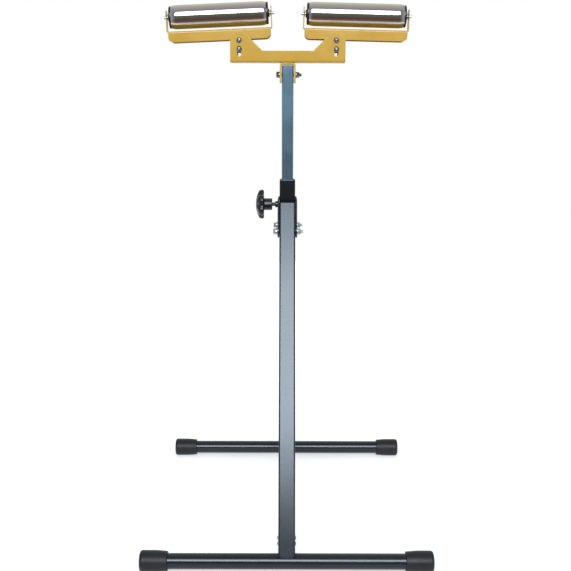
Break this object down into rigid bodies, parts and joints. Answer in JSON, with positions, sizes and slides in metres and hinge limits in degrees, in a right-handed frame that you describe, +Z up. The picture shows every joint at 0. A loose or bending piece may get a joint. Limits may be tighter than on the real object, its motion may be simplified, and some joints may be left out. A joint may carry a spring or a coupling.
{
  "type": "folding roller stand",
  "caption": "Folding workshop roller stand: chromed rollers in tilting cradles on a telescoping post, with hinged legs on round foot bars and a star knob clamp.",
  "frame": {"origin": "on the floor under the post axis, midway between the foot bars", "axes": "+Z up, +X to the right along the rollers and foot bars, -Y towards the front leg"},
  "size_m": [0.52, 0.602, 1.0019],
  "materials": {
    "black_paint": "semi-gloss black powder coat",
    "gold_paint": "satin golden yellow powder coat",
    "blue_zinc": "blue passivated zinc plating",
    "bright_zinc": "bright zinc plating",
    "chrome": "polished chrome plating",
    "black_plastic": "fine moulded black plastic",
    "black_rubber": "matte moulded black rubber",
    "brass": "plain turned brass"
  },
  "bodies": {
    "main_frame": {"main_tube": "black_paint", "tube_bush": "black_plastic", "hinge_plate_left": "black_paint", "hinge_plate_right": "black_paint", "front_hinge_bolt": "bright_zinc", "front_hinge_nut": "bright_zinc", "rear_hinge_bolt": "bright_zinc", "rear_hinge_nut": "bright_zinc", "clamp_nut": "black_paint"},
    "front_leg": {"front_leg": "black_paint", "front_foot_bar": "black_paint", "front_foot_rivet_lower": "black_paint", "front_foot_rivet_upper": "black_paint", "front_foot_cap_left": "black_rubber", "front_foot_cap_right": "black_rubber"},
    "rear_leg": {"rear_leg": "black_paint", "rear_foot_bar": "black_paint", "rear_foot_rivet_lower": "black_paint", "rear_foot_rivet_upper": "black_paint", "rear_foot_cap_left": "black_rubber", "rear_foot_cap_right": "black_rubber"},
    "mast": {"post": "blue_zinc", "yoke": "gold_paint", "yoke_bolt": "bright_zinc", "yoke_nut": "bright_zinc", "head_channel": "gold_paint", "left_pivot_screw": "bright_zinc", "left_pivot_nut": "bright_zinc", "left_lock_screw": "bright_zinc", "left_lock_nut": "bright_zinc", "right_pivot_screw": "bright_zinc", "right_pivot_nut": "bright_zinc", "right_lock_screw": "bright_zinc", "right_lock_nut": "bright_zinc"},
    "left_cradle": {"left_cradle": "gold_paint", "left_axle": "bright_zinc", "left_axle_clip_inner": "bright_zinc", "left_axle_clip_outer": "bright_zinc"},
    "right_cradle": {"right_cradle": "gold_paint", "right_axle": "bright_zinc", "right_axle_clip_inner": "bright_zinc", "right_axle_clip_outer": "bright_zinc"},
    "left_roller": {"left_roller_tube": "chrome", "left_roller_cap_inner": "black_plastic", "left_roller_cap_outer": "black_plastic", "left_bearing_inner": "bright_zinc", "left_bearing_outer": "bright_zinc"},
    "right_roller": {"right_roller_tube": "chrome", "right_roller_cap_inner": "black_plastic", "right_roller_cap_outer": "black_plastic", "right_bearing_inner": "bright_zinc", "right_bearing_outer": "bright_zinc"},
    "clamp_plug": {"clamp_plug": "brass"},
    "knob": {"star_knob": "black_plastic", "knob_stud": "bright_zinc"}
  },
  "joints": [
    {"name": "front_leg_fold", "type": "hinge", "parent": "main_frame", "child": "front_leg", "pos_m": [0, -0.046, 0.575], "axis": [1, 0, 0], "range_deg": [0, 23]},
    {"name": "rear_leg_fold", "type": "hinge", "parent": "main_frame", "child": "rear_leg", "pos_m": [0, 0.046, 0.575], "axis": [-1, 0, 0], "range_deg": [0, 23]},
    {"name": "post_slide", "type": "slide", "parent": "main_frame", "child": "mast", "axis": [0, 0, 1], "range_m": [-0.18, 0.17]},
    {"name": "left_cradle_tilt", "type": "hinge", "parent": "mast", "child": "left_cradle", "pos_m": [-0.0905, 0, 0.9294], "axis": [0, 1, 0], "range_deg": [0, 32.7]},
    {"name": "right_cradle_tilt", "type": "hinge", "parent": "mast", "child": "right_cradle", "pos_m": [0.0905, 0, 0.9294], "axis": [0, -1, 0], "range_deg": [-1.3, 31.4]},
    {"name": "left_roller_spin", "type": "hinge", "parent": "left_cradle", "child": "left_roller", "pos_m": [-0.12902, 0, 0.97564], "axis": [0.9989, 0, 0.0471], "continuous": true},
    {"name": "right_roller_spin", "type": "hinge", "parent": "right_cradle", "child": "right_roller", "pos_m": [0.12796, 0, 0.9765], "axis": [0.9997, 0, -0.0244], "continuous": true},
    {"name": "clamp_plug_slide", "type": "slide", "parent": "main_frame", "child": "clamp_plug", "axis": [-1, 0, 0], "range_m": [0, 0.0019]},
    {"name": "knob_turn", "type": "hinge", "parent": "clamp_plug", "child": "knob", "pos_m": [-0.04, 0, 0.622], "axis": [-1, 0, 0], "range_deg": [0, 540]}
  ],
  "couplings": [
    {"joint": "clamp_plug_slide", "follows": "knob_turn", "m_per_rad": 0.00019894}
  ]
}
